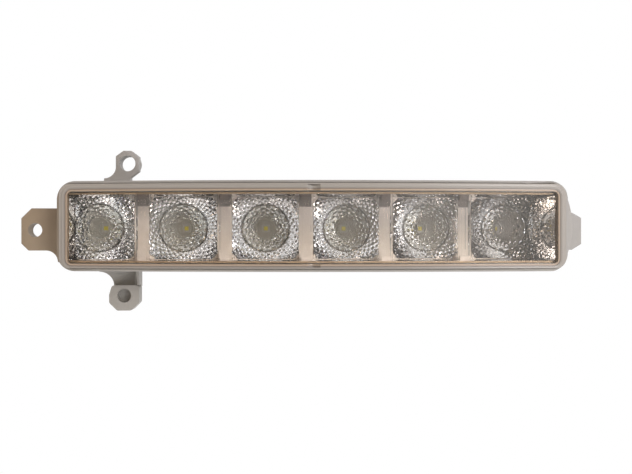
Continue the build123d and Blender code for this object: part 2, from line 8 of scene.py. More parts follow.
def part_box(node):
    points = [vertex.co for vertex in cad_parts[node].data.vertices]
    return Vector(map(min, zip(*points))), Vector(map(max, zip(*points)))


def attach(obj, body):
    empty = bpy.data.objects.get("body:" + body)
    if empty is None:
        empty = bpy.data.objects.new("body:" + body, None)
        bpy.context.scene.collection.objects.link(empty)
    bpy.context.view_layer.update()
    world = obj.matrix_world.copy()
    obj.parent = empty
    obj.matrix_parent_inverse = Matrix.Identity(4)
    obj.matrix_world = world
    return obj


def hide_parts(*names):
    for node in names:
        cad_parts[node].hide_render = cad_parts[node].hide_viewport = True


bl_info = {
    "name": "Daytime running light",
    "version": (1, 0, 0),
    "blender": (4, 5, 0),
    "location": "View3D > Sidebar > Running light",
    "description": "Dresses the packed daytime running light: optics, mouldings, finishes and stage",
    "category": "Object",
}

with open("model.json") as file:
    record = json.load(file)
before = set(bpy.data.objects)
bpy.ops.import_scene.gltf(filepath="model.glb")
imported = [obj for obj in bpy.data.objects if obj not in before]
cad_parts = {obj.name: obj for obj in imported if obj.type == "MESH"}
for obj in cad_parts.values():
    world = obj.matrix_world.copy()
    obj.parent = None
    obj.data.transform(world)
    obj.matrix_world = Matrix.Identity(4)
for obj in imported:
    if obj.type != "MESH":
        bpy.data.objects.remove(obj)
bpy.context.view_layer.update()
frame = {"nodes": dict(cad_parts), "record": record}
nodes = frame["nodes"]
led_names = sorted(name for name in nodes if name.startswith("led_") and name != "led_board")
MM = 0.001


def linear(code):
    """A colour written as sRGB hex, as the linear RGBA that shaders take."""
    parts = [int(code[i:i + 2], 16) / 255 for i in (1, 3, 5)]
    return tuple(c / 12.92 if c <= 0.04045 else ((c + 0.055) / 1.055) ** 2.4 for c in parts) + (1.0,)


def middle(node):
    """Middle of a CAD node's box."""
    low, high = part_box(node)
    return (low + high) / 2


bar_low, bar_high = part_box("collimator_bar")
bezel_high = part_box("reflector_bezel")[1]

# Border of the lens: it starts at the window's edge and laps a little over the window's ends
bezel_gap = 0.3 * MM
border_lap = 1.0 * MM
window_half = Vector((bezel_high.x + bezel_gap - border_lap, 0, bezel_high.z + bezel_gap))
window_corner = 2.0 * MM
border_width = 2.8 * MM

# Refractive indices of the plastics, the tint of lamp light that passes the clear ones, and plain white
acrylic_ior = 1.49
abs_ior = 1.53
shadow_tint = "#fbfaf8"
white = (1, 1, 1, 1)

# Places where a finish or its painted light and shade changes, in the lamp's own coordinates
phosphor_height = 0.38 * MM
# The outer ear's painted warm shade comes in between these places
ear_from, ear_to = -100 * MM, -107 * MM
# Painted highlight: the bezel's front edge is painted tan up to this depth
bezel_edge_depth = 22 * MM
# Painted shade on the fronts of the upper posts, up to this depth and between these heights
post_depth = 29 * MM
post_from, post_to = 8 * MM, 10 * MM
# Painted light: the dais's painted shade fades out between these places, towards the lamp's brighter right
# end
lit_dais_from, lit_dais_to = 40 * MM, 85 * MM

# Tolerances of the mesh work, and the angle up to which edges are shaded smooth
cut_tolerance = 0.0001 * MM
face_tolerance = 0.001 * MM
weld_gap = 0.004 * MM
sliver = 0.002 * MM
cad_weld_gap = 0.001 * MM
cad_flat_angle = radians(0.2)
smooth_angle = radians(35)


# Sizes and colours a user would change

class OpticSizes(bpy.types.PropertyGroup):
    """Sizes of the collimator bar's moulded optics and of the housing's eased edges."""
    cell_width: bpy.props.FloatProperty(
        name="Cell width", description="Width of one square cell along the lamp",
        default=29.0 * MM, subtype="DISTANCE")
    centre_radius: bpy.props.FloatProperty(
        name="Centre lens radius", description="Radius of the smooth lens in the middle of a cell",
        default=4.6 * MM, subtype="DISTANCE")
    centre_rise: bpy.props.FloatProperty(
        name="Centre lens rise", description="How far the centre lens stands out of the cell's face",
        default=0.9 * MM, subtype="DISTANCE")
    dais_radius: bpy.props.FloatProperty(
        name="Dais radius", description="Radius of the raised round part of a cell's face",
        default=10.2 * MM, subtype="DISTANCE")
    dais_step: bpy.props.FloatProperty(
        name="Dais step", description="Height of the raised round part of a cell's face",
        default=0.4 * MM, subtype="DISTANCE")
    groove_depth: bpy.props.FloatProperty(
        name="Groove depth", description="Depth of the sharp groove round the dais",
        default=1.0 * MM, subtype="DISTANCE")
    pillow_rise: bpy.props.FloatProperty(
        name="Pillow rise", description="Height of one pillow",
        default=0.5 * MM, subtype="DISTANCE")
    face_depth: bpy.props.FloatProperty(
        name="Face depth", description="Depth of the dais behind the lens's outer face",
        default=24.0 * MM, subtype="DISTANCE")
    cell_edge: bpy.props.FloatProperty(
        name="Cell edge", description="Thickness of a cell in its corners",
        default=0.8 * MM, subtype="DISTANCE")
    cup_radius: bpy.props.FloatProperty(
        name="Cup radius", description="Radius of a collimator cup at its front",
        default=18.0 * MM, subtype="DISTANCE")
    cup_rear: bpy.props.FloatProperty(
        name="Cup rear radius", description="Radius of a collimator cup at the LED",
        default=4.1 * MM, subtype="DISTANCE")
    cup_bulge: bpy.props.FloatProperty(
        name="Cup bulge", description="How far the cup's flank bulges out of a straight cone",
        default=0.5 * MM, subtype="DISTANCE")
    pocket_radius: bpy.props.FloatProperty(
        name="Pocket radius", description="Radius of the pocket over the LED",
        default=2.9 * MM, subtype="DISTANCE")
    pocket_depth: bpy.props.FloatProperty(
        name="Pocket depth", description="Depth of the pocket over the LED",
        default=4.1 * MM, subtype="DISTANCE")
    pocket_dome: bpy.props.FloatProperty(
        name="Pocket dome", description="Rise of the domed roof of the pocket",
        default=0.1 * MM, subtype="DISTANCE")
    web_front: bpy.props.FloatProperty(
        name="Web front", description="Depth of the front of the strips that join the cells",
        default=25.6 * MM, subtype="DISTANCE")
    web_thickness: bpy.props.FloatProperty(
        name="Web thickness", description="Thickness of the strips that join the cells",
        default=1.6 * MM, subtype="DISTANCE")
    housing_ease: bpy.props.FloatProperty(
        name="Housing edges", description="Rounding of the housing's sharp edges",
        default=0.22 * MM, subtype="DISTANCE")
    flute_rise: bpy.props.FloatProperty(
        name="Flute rise", description="Height of the upright flutes on the strips",
        default=0.3 * MM, subtype="DISTANCE")


class Finishes(bpy.types.PropertyGroup):
    """Colours of the visible materials."""
    housing_grey: bpy.props.FloatVectorProperty(
        name="Housing", description="Moulded grey plastic of the housing",
        default=linear("#9c9992"), size=4, subtype="COLOR")
    border: bpy.props.FloatVectorProperty(
        name="Lens border", description="Satin border of the lens over the rim",
        default=linear("#9c978e"), size=4, subtype="COLOR")
    silver: bpy.props.FloatVectorProperty(
        name="Metallised bezel", description="Metal film on the reflector bezel",
        default=linear("#dad1c8"), size=4, subtype="COLOR")
    phosphor: bpy.props.FloatVectorProperty(
        name="Phosphor", description="Yellow phosphor of the LEDs",
        default=linear("#c9b93f"), size=4, subtype="COLOR")
    board: bpy.props.FloatVectorProperty(
        name="Board", description="Solder mask of the LED board",
        default=linear("#a29d94"), size=4, subtype="COLOR")


# Node trees

def add_node(tree, kind, values=None, links=None, stops=None, **settings):
    """Adds one shader node with its settings, socket values, links and ramp stops of (position, hex)."""
    node = tree.nodes.new(kind)
    for key, value in settings.items():
        setattr(node, key, value)
    for socket, value in (values or {}).items():
        node.inputs[socket].default_value = value
    for socket, source in (links or {}).items():
        tree.links.new(source, node.inputs[socket])
    if stops:
        elements = node.color_ramp.elements
        while len(elements) < len(stops):
            elements.new(1.0)
        for element, (position, code) in zip(elements, stops):
            element.position = position
            element.color = linear(code)
    return node


def new_material(name):
    """An empty material: its tree and its output node."""
    material = bpy.data.materials.new(name)
    material.use_nodes = True
    tree = material.node_tree
    tree.nodes.clear()
    output = add_node(tree, "ShaderNodeOutputMaterial")
    return material, tree, output


def grain(tree, size_mm, strength, depth_mm, detail=3.0):
    """A bump normal from an even grain of a real size, on Object coordinates."""
    place = add_node(tree, "ShaderNodeTexCoord")
    noise = add_node(tree, "ShaderNodeTexNoise", {"Scale": 1 / (size_mm * MM), "Detail": detail},
                     {"Vector": place.outputs["Object"]})
    bump = add_node(tree, "ShaderNodeBump", {"Strength": strength, "Distance": depth_mm * MM},
                    {"Height": noise.outputs["Fac"]})
    return noise, bump


def let_light_through(tree, shader):
    """Clear plastic that doesn't stop lamp light: to shadow rays it is a faint tint."""
    clear = add_node(tree, "ShaderNodeBsdfTransparent", {"Color": linear(shadow_tint)})
    path = add_node(tree, "ShaderNodeLightPath")
    return add_node(tree, "ShaderNodeMixShader", links={
        0: path.outputs["Is Shadow Ray"], 1: shader.outputs[0], 2: clear.outputs[0]})


# Materials

def ringed_acrylic(name, s):
    """Polished injection-moulded acrylic: clear, sharp highlights, with painted shade on each dais and in
    the groove round it.
    """
    dais_inside, dais_outside = 0.5 * MM, 0.3 * MM
    groove_half, groove_fade = 0.25 * MM, 0.6 * MM
    face_reach = 1.4 * MM
    material, tree, output = new_material(name)
    place = add_node(tree, "ShaderNodeTexCoord")
    axes = add_node(tree, "ShaderNodeSeparateXYZ", links={0: place.outputs["Object"]})

    # Distance from the axis of the nearest cell
    first, second = middle(led_names[0]).x, middle(led_names[1]).x
    half = (second - first) / 2
    along = add_node(tree, "ShaderNodeMath", {1: first}, {0: axes.outputs["X"]}, operation="SUBTRACT")
    aside = add_node(tree, "ShaderNodeMath", {1: half, 2: -half}, {0: along.outputs[0]}, operation="WRAP")
    spoke = add_node(tree, "ShaderNodeCombineXYZ", links={0: aside.outputs[0], 1: axes.outputs["Z"]})
    radius = add_node(tree, "ShaderNodeVectorMath", links={0: spoke.outputs[0]}, operation="LENGTH")
    face = add_node(tree, "ShaderNodeMath", {1: s.face_depth + face_reach}, {0: axes.outputs["Y"]},
                    operation="LESS_THAN")

    # Painted shade: the dais is painted greyer, less so towards the lamp's right end, where more light falls
    # on it
    inside = add_node(tree, "ShaderNodeMapRange", {
        "From Min": s.dais_radius - dais_inside, "From Max": s.dais_radius + dais_outside,
        "To Min": 1.0, "To Max": 0.0}, {"Value": radius.outputs["Value"]})
    shade = add_node(tree, "ShaderNodeMapRange", {
        "From Min": lit_dais_from, "From Max": lit_dais_to, "To Min": 1.0, "To Max": 0.0},
        {"Value": axes.outputs["X"]})
    shaded = add_node(tree, "ShaderNodeMath", links={
        0: inside.outputs["Result"], 1: shade.outputs["Result"]}, operation="MULTIPLY")
    dais = add_node(tree, "ShaderNodeMath", links={0: shaded.outputs[0], 1: face.outputs[0]},
                    operation="MULTIPLY")
    painted_dais_shade = add_node(tree, "ShaderNodeMix", {6: white, 7: linear("#d3d2c9")}, {0: dais.outputs[0]},
                    data_type="RGBA")

    # Painted shade: the groove round it is painted dark, most of all at its sides
    off = add_node(tree, "ShaderNodeMath", {1: s.dais_radius}, {0: radius.outputs["Value"]},
                   operation="SUBTRACT")
    near = add_node(tree, "ShaderNodeMath", links={0: off.outputs[0]}, operation="ABSOLUTE")
    ring = add_node(tree, "ShaderNodeMapRange", {
        "From Min": groove_half, "From Max": groove_fade, "To Min": 1.0, "To Max": 0.0},
        {"Value": near.outputs[0]})
    width = add_node(tree, "ShaderNodeMath", links={0: aside.outputs[0]}, operation="ABSOLUTE")
    flank = add_node(tree, "ShaderNodeMapRange", {
        "From Min": 0.2 * s.dais_radius, "From Max": 0.9 * s.dais_radius, "To Min": 0.35, "To Max": 0.9},
        {"Value": width.outputs[0]})
    dark = add_node(tree, "ShaderNodeMath", links={
        0: ring.outputs["Result"], 1: flank.outputs["Result"]}, operation="MULTIPLY")
    groove = add_node(tree, "ShaderNodeMath", links={0: dark.outputs[0], 1: face.outputs[0]},
                      operation="MULTIPLY")
    tone = add_node(tree, "ShaderNodeMix", {7: linear("#38342f")},
                    {0: groove.outputs[0], 6: painted_dais_shade.outputs[2]}, data_type="RGBA")

    acrylic = add_node(tree, "ShaderNodeBsdfPrincipled",
                       {"Roughness": 0.0, "IOR": acrylic_ior, "Transmission Weight": 1.0},
                       {"Base Color": tone.outputs[2]})
    optic = let_light_through(tree, acrylic)
    tree.links.new(optic.outputs[0], output.inputs["Surface"])
    return material


def bordered_lens(name, border):
    """Clear acrylic cover with a satin border where it lies on the rim: grey and soft, not see-through."""
    border_start = 0.03
    bead_strength, bead_height = 0.7, 0.5 * MM
    crease_reach = 1.6 * MM
    material, tree, output = new_material(name)
    place = add_node(tree, "ShaderNodeTexCoord")
    axes = add_node(tree, "ShaderNodeSeparateXYZ", links={0: place.outputs["Object"]})

    # How far across the border a place lies: 0 at the window, 1 at the outer edge
    beyond = []
    for axis, edge in (("X", window_half.x), ("Z", window_half.z)):
        size = add_node(tree, "ShaderNodeMath", links={0: axes.outputs[axis]}, operation="ABSOLUTE")
        over = add_node(tree, "ShaderNodeMath", {1: edge - window_corner}, {0: size.outputs[0]},
                        operation="SUBTRACT")
        beyond.append(add_node(tree, "ShaderNodeMath", {1: 0.0}, {0: over.outputs[0]},
                               operation="MAXIMUM"))
    corner = add_node(tree, "ShaderNodeCombineXYZ", links={
        0: beyond[0].outputs[0], 1: beyond[1].outputs[0]})
    reach = add_node(tree, "ShaderNodeVectorMath", links={0: corner.outputs[0]}, operation="LENGTH")
    outside = add_node(tree, "ShaderNodeMapRange", {
        "From Min": window_corner, "From Max": window_corner + border_width},
        {"Value": reach.outputs["Value"]})
    mask = add_node(tree, "ShaderNodeMath", {1: border_start}, {0: outside.outputs["Result"]},
                    operation="GREATER_THAN")

    # A tan bead beside the window, a dark line and the broad grey rim. The bead's shape is a bump, and the
    # colours paint a highlight on it
    bead = add_node(tree, "ShaderNodeValToRGB", links={"Fac": outside.outputs["Result"]}, stops=(
        (0.0, "#000000"), (0.16, "#d0d0d0"), (0.33, "#202020"),
        (0.42, "#707070"), (0.72, "#ffffff"), (1.0, "#606060")))
    bead.color_ramp.interpolation = "B_SPLINE"
    # Painted light: a tan highlight on the bead, painted shade at the window's edge and in the dark line,
    # then the rim's own grey
    grey = add_node(tree, "ShaderNodeValToRGB", links={"Fac": outside.outputs["Result"]}, stops=(
        (0.0, "#7b6b5a"), (0.16, "#b3a089"), (0.33, "#756b62"), (0.45, "#8e8980"), (0.7, "#9c978e")))
    grey.color_ramp.elements[-1].color = border
    bump = add_node(tree, "ShaderNodeBump", {"Strength": bead_strength, "Distance": bead_height},
                    {"Height": bead.outputs["Color"]})
    # Painted shade: the border is painted dark brown where ambient occlusion finds creases and gaps
    painted_crease_shade = add_node(tree, "ShaderNodeAmbientOcclusion", {"Distance": crease_reach}, samples=8)
    tone = add_node(tree, "ShaderNodeMix", {6: linear("#4f463d")},
                    {0: painted_crease_shade.outputs["AO"], 7: grey.outputs["Color"]}, data_type="RGBA")
    satin = add_node(tree, "ShaderNodeBsdfPrincipled", {"Roughness": 0.34, "IOR": acrylic_ior},
                     {"Base Color": tone.outputs[2], "Normal": bump.outputs["Normal"]})

    acrylic = add_node(tree, "ShaderNodeBsdfPrincipled",
                       {"Base Color": white, "Roughness": 0.0, "IOR": acrylic_ior,
                        "Transmission Weight": 1.0})
    window = let_light_through(tree, acrylic)
    mix = add_node(tree, "ShaderNodeMixShader", links={
        0: mask.outputs[0], 1: window.outputs[0], 2: satin.outputs[0]})
    tree.links.new(mix.outputs[0], output.inputs["Surface"])
    return material


def led_finish(name, phosphor):
    """White ceramic LED package; only the raised square of phosphor is yellow."""
    material, tree, output = new_material(name)
    place = add_node(tree, "ShaderNodeTexCoord")
    axes = add_node(tree, "ShaderNodeSeparateXYZ", links={0: place.outputs["Object"]})
    led_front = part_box(led_names[0])[0].y
    raised = add_node(tree, "ShaderNodeMath", {1: led_front + phosphor_height}, {0: axes.outputs["Y"]},
                      operation="LESS_THAN")
    tone = add_node(tree, "ShaderNodeMix", {6: linear("#b2aea6"), 7: phosphor}, {0: raised.outputs[0]},
                    data_type="RGBA")
    body = add_node(tree, "ShaderNodeBsdfPrincipled", {"Roughness": 0.45}, {"Base Color": tone.outputs[2]})
    tree.links.new(body.outputs[0], output.inputs["Surface"])
    return material


def moulded_plastic(name, colour):
    """Injection-moulded grey ABS: even spark-eroded grain, soft sheen, the outer ear painted browner for the
    warm shade on it.
    """
    # Spark-eroded grain is near 0.1 mm, which is too fine to show, so it is drawn at 0.5 mm
    grain_mm, grain_strength, grain_depth_mm = 0.5, 0.25, 0.05
    cloud_size = 18 * MM
    material, tree, output = new_material(name)
    noise, bump = grain(tree, grain_mm, grain_strength, grain_depth_mm)
    place = add_node(tree, "ShaderNodeTexCoord")
    cloud = add_node(tree, "ShaderNodeTexNoise", {"Scale": 1 / cloud_size, "Detail": 4.0},
                     {"Vector": place.outputs["Object"]})
    shade = add_node(tree, "ShaderNodeMapRange", {
        "From Min": 0.3, "From Max": 0.7, "To Min": 0.94, "To Max": 1.05}, {"Value": cloud.outputs["Fac"]})
    axes = add_node(tree, "ShaderNodeSeparateXYZ", links={0: place.outputs["Object"]})
    # Painted shade: the outer ear is painted a darker warm brown, as dim warm light leaves it
    ear = add_node(tree, "ShaderNodeMapRange", {"From Min": ear_from, "From Max": ear_to},
                   {"Value": axes.outputs["X"]}, interpolation_type="SMOOTHSTEP")
    painted_ear_shade = add_node(tree, "ShaderNodeMix", {6: colour, 7: linear("#90806a")}, {0: ear.outputs["Result"]},
                    data_type="RGBA")
    tone = add_node(tree, "ShaderNodeHueSaturation", links={
        "Color": painted_ear_shade.outputs[2], "Value": shade.outputs["Result"]})
    rough = add_node(tree, "ShaderNodeMapRange", {"To Min": 0.42, "To Max": 0.55},
                     {"Value": noise.outputs["Fac"]})
    plastic = add_node(tree, "ShaderNodeBsdfPrincipled", {"IOR": abs_ior}, {
        "Base Color": tone.outputs["Color"], "Roughness": rough.outputs["Result"],
        "Normal": bump.outputs["Normal"]})
    tree.links.new(plastic.outputs[0], output.inputs["Surface"])
    return material


def metallised_film(name, colour):
    """Vacuum-metallised plastic: walls like a mirror, a satin floor that stays pale and even; a painted
    highlight on the front edge and painted shade on the upper posts.
    """
    # The moulding under the film is a little wavy, about 1.6 mm from crest to crest
    wave_mm, wave_strength, wave_depth_mm, wave_detail = 1.6, 0.08, 0.05, 1.0
    material, tree, output = new_material(name)
    bump = grain(tree, wave_mm, wave_strength, wave_depth_mm, wave_detail)[1]
    surface = add_node(tree, "ShaderNodeNewGeometry")
    facing = add_node(tree, "ShaderNodeSeparateXYZ", links={0: surface.outputs["True Normal"]})
    front = add_node(tree, "ShaderNodeMath", links={0: facing.outputs["Y"]}, operation="ABSOLUTE")
    rough = add_node(tree, "ShaderNodeMapRange", {
        "From Min": 0.2, "From Max": 0.9, "To Min": 0.06, "To Max": 0.7}, {"Value": front.outputs[0]})
    place = add_node(tree, "ShaderNodeTexCoord")
    axes = add_node(tree, "ShaderNodeSeparateXYZ", links={0: place.outputs["Object"]})

    # Painted highlight: the front edge is painted tan, for the tan line of light along it
    ahead = add_node(tree, "ShaderNodeMath", {1: bezel_edge_depth}, {0: axes.outputs["Y"]},
                     operation="LESS_THAN")
    edge = add_node(tree, "ShaderNodeMath", links={0: ahead.outputs[0], 1: front.outputs[0]},
                    operation="MULTIPLY")
    tone = add_node(tree, "ShaderNodeMix", {6: colour, 7: linear("#b39d82")}, {0: edge.outputs[0]},
                    data_type="RGBA")

    # Painted shade: the fronts of the upper posts are painted darker
    post = add_node(tree, "ShaderNodeMath", {1: post_depth}, {0: axes.outputs["Y"]}, operation="LESS_THAN")
    upper = add_node(tree, "ShaderNodeMapRange", {"From Min": post_from, "From Max": post_to},
                     {"Value": axes.outputs["Z"]})
    high_post = add_node(tree, "ShaderNodeMath", links={0: post.outputs[0], 1: upper.outputs["Result"]},
                         operation="MULTIPLY")
    shaded = add_node(tree, "ShaderNodeMath", links={0: high_post.outputs[0], 1: front.outputs[0]},
                      operation="MULTIPLY")
    plain = add_node(tree, "ShaderNodeMath", links={0: shaded.outputs[0], 1: edge.outputs[0]},
                     operation="SUBTRACT", use_clamp=True)
    painted_post_shade = add_node(tree, "ShaderNodeMix", {7: linear("#857c75")}, {0: plain.outputs[0], 6: tone.outputs[2]},
                    data_type="RGBA")
    film = add_node(tree, "ShaderNodeBsdfPrincipled", {"Metallic": 1.0}, {
        "Base Color": painted_post_shade.outputs[2], "Roughness": rough.outputs["Result"],
        "Normal": bump.outputs["Normal"]})
    tree.links.new(film.outputs[0], output.inputs["Surface"])
    return material


def plain_finish(name, colour, roughness, metallic=0.0):
    """A small inner piece's finish: its colour with a fine grain, drawn coarse enough to show."""
    grain_mm, grain_strength, grain_depth_mm = 0.4, 0.2, 0.03
    material, tree, output = new_material(name)
    noise, bump = grain(tree, grain_mm, grain_strength, grain_depth_mm)
    shade = add_node(tree, "ShaderNodeMapRange", {"To Min": 0.93, "To Max": 1.06},
                     {"Value": noise.outputs["Fac"]})
    tone = add_node(tree, "ShaderNodeHueSaturation", {"Color": colour}, {"Value": shade.outputs["Result"]})
    body = add_node(tree, "ShaderNodeBsdfPrincipled", {"Metallic": metallic, "Roughness": roughness}, {
        "Base Color": tone.outputs["Color"], "Normal": bump.outputs["Normal"]})
    tree.links.new(body.outputs[0], output.inputs["Surface"])
    return material


def dress(piece, material):
    """Gives a piece one material."""
    piece.data.materials.clear()
    piece.data.materials.append(material)


# Modelling helpers

def trace(name, points):
    """Draws a chain of edges through points as a new mesh, left in edit mode with all of it selected."""
    bpy.ops.object.select_all(action="DESELECT")
    bpy.ops.mesh.primitive_plane_add(size=1 * MM, location=(0, 0, 0))
    piece = bpy.context.active_object
    piece.name = name
    piece.data.name = name
    bpy.ops.object.mode_set(mode="EDIT")
    bpy.ops.mesh.select_all(action="SELECT")
    bpy.ops.mesh.merge(type="CENTER")
    bpy.ops.transform.translate(value=points[0])
    for here, there in zip(points, points[1:]):
        bpy.ops.mesh.extrude_region_move(TRANSFORM_OT_translate={"value": there - here})
    bpy.ops.mesh.select_all(action="SELECT")
    return piece


def lathe(name, profile, steps):
    """Spins a profile of (radius, depth) points about the light's axis into a closed body."""
    piece = trace(name, [Vector((radius, depth, 0)) for radius, depth in profile])
    bpy.ops.mesh.spin(steps=steps, angle=2 * pi, center=(0, 0, 0), axis=(0, 1, 0))
    bpy.ops.mesh.select_all(action="SELECT")
    bpy.ops.mesh.remove_doubles(threshold=sliver)
    bpy.ops.mesh.normals_make_consistent(inside=False)
    bpy.ops.object.mode_set(mode="OBJECT")
    return piece


def prism(name, points, low, high):
    """A closed body with an (x, y) outline, from one height to another."""
    piece = trace(name, [Vector((x, y, low)) for x, y in points])
    bpy.ops.mesh.edge_face_add()
    bpy.ops.mesh.extrude_region_move(TRANSFORM_OT_translate={"value": (0, 0, high - low)})
    bpy.ops.mesh.select_all(action="SELECT")
    bpy.ops.mesh.normals_make_consistent(inside=False)
    bpy.ops.object.mode_set(mode="OBJECT")
    return piece


def select_only(piece):
    """Selects one object and makes it active."""
    bpy.ops.object.select_all(action="DESELECT")
    piece.select_set(True)
    bpy.context.view_layer.objects.active = piece


def trim(piece, place, way):
    """Cuts off what lies beyond a plane and closes the cut."""
    select_only(piece)
    bpy.ops.object.mode_set(mode="EDIT")
    bpy.ops.mesh.select_all(action="SELECT")
    bpy.ops.mesh.bisect(plane_co=place, plane_no=way, use_fill=True, clear_outer=True,
                        threshold=cut_tolerance)
    bpy.ops.object.mode_set(mode="OBJECT")


def close(piece):
    """Merges what meets after the cuts and closes what is left open."""
    select_only(piece)
    bpy.ops.object.mode_set(mode="EDIT")
    bpy.ops.mesh.select_all(action="SELECT")
    bpy.ops.mesh.remove_doubles(threshold=weld_gap)
    bpy.ops.mesh.dissolve_degenerate(threshold=sliver)
    bpy.ops.mesh.select_all(action="SELECT")
    bpy.ops.mesh.fill_holes(sides=0)
    bpy.ops.mesh.select_all(action="SELECT")
    bpy.ops.mesh.normals_make_consistent(inside=False)
    bpy.ops.object.mode_set(mode="OBJECT")


def union(piece, other):
    """Joins another body to a piece as one closed skin, and removes the other."""
    select_only(piece)
    join = piece.modifiers.new("join", "BOOLEAN")
    join.operation = "UNION"
    join.solver = "EXACT"
    join.object = other
    bpy.ops.object.modifier_apply(modifier=join.name)
    bpy.data.objects.remove(other)


def smooth(piece):
    """Shades a piece smooth across its flatter edges."""
    select_only(piece)
    bpy.ops.object.shade_smooth_by_angle(angle=smooth_angle)


def finish_piece(piece, material, slot, *replaced):
    """Dresses a finished piece, ties it to the lamp and lets it stand for CAD nodes."""
    dress(piece, material)
    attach(piece, "root")
    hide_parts(*replaced)


# Operators

class DRL_OT_finishes(bpy.types.Operator):
    """Gives every CAD node its finish"""
    bl_idname = "drl.finishes"
    bl_label = "Finish the CAD nodes"

    def execute(self, context):
        colours = context.scene.drl_finishes
        by_slot = {
            "clear_lens": bordered_lens("Clear acrylic lens with satin border", colours.border),
            "clear_optic": ringed_acrylic("Clear acrylic optic", context.scene.drl_optics),
            "grey_housing": moulded_plastic("Moulded grey ABS", colours.housing_grey),
            "metallised": metallised_film("Metallised film", colours.silver),
            "led_yellow": led_finish("LED package with phosphor", colours.phosphor),
            # Seen little or not at all, so the real material's colour and sheen are enough
            "sealant": plain_finish("Cured grey sealant", linear("#8f8b83"), 0.6),
            "board": plain_finish("Solder mask on glass fibre", colours.board, 0.35),
            "pad": plain_finish("Silicone pad", linear("#9aa0a5"), 0.7),
            "heat_sink": plain_finish("Mill-finish aluminium", linear("#c6c7c7"), 0.35, 1.0),
            "steel": plain_finish("Zinc-plated steel", linear("#b5b5b0"), 0.3, 1.0),
            "tinned_brass": plain_finish("Tinned brass", linear("#c9c4b4"), 0.25, 1.0),
            "package_black": plain_finish("Moulded epoxy", linear("#2a2a2a"), 0.5),
            "ceramic_tan": plain_finish("Ceramic chip", linear("#a98c66"), 0.5),
            "membrane": plain_finish("Breather film", linear("#e6e6e1"), 0.8),
        }
        for entry in frame["record"]["subparts"]:
            dress(nodes[entry["node"]], by_slot[entry["material_slot"]])
        return {"FINISHED"}


class DRL_OT_mouldings(bpy.types.Operator):
    """Eases the sharp edges of the housing"""
    bl_idname = "drl.mouldings"
    bl_label = "Eased mouldings"

    # Room is in widths of the rounding, and a corner where this many edges meet is left sharp
    room = 3
    crowd = 5
    sharp_from, sharp_to = radians(40), radians(110)

    def pick(self, mesh, width):
        """Selects the sharp edges that have room for a rounding: none with a short edge at its ends."""
        normals = {}
        for face in mesh.polygons:
            for key in face.edge_keys:
                normals.setdefault(key, []).append(face.normal)
        meeting = {}
        for edge in mesh.edges:
            a, b = edge.vertices
            length = (mesh.vertices[a].co - mesh.vertices[b].co).length
            for vertex in (a, b):
                meeting.setdefault(vertex, []).append(length)
        for edge in mesh.edges:
            sides = normals[edge.key]
            ends = [meeting[vertex] for vertex in edge.vertices]
            roomy = all(min(lengths) > self.room * width and len(lengths) < self.crowd for lengths in ends)
            edge.select = roomy and self.sharp_from < sides[0].angle(sides[1]) < self.sharp_to

    def eased(self, context, node, width, slot):
        """A copy of a CAD node with its sharp edges rounded, that stands for the node."""
        source = nodes[node]
        piece = source.copy()
        piece.data = source.data.copy()
        piece.name = node + "_eased"
        piece.data.name = piece.name
        piece.parent = None
        context.collection.objects.link(piece)
        select_only(piece)
        bpy.ops.object.mode_set(mode="EDIT")
        bpy.ops.mesh.select_all(action="SELECT")
        bpy.ops.mesh.remove_doubles(threshold=cad_weld_gap)
        bpy.ops.mesh.dissolve_limited(angle_limit=cad_flat_angle)
        bpy.ops.mesh.select_mode(type="EDGE")
        bpy.ops.mesh.select_all(action="DESELECT")
        bpy.ops.object.mode_set(mode="OBJECT")
        self.pick(piece.data, width)
        bpy.ops.object.mode_set(mode="EDIT")
        bpy.ops.mesh.bevel(offset=width, segments=2, affect="EDGES", clamp_overlap=False)
        bpy.ops.mesh.select_mode(type="VERT")
        bpy.ops.object.mode_set(mode="OBJECT")
        smooth(piece)
        finish_piece(piece, source.data.materials[0], slot, node)

    def execute(self, context):
        self.eased(context, "housing", context.scene.drl_optics.housing_ease, "grey_housing")
        return {"FINISHED"}


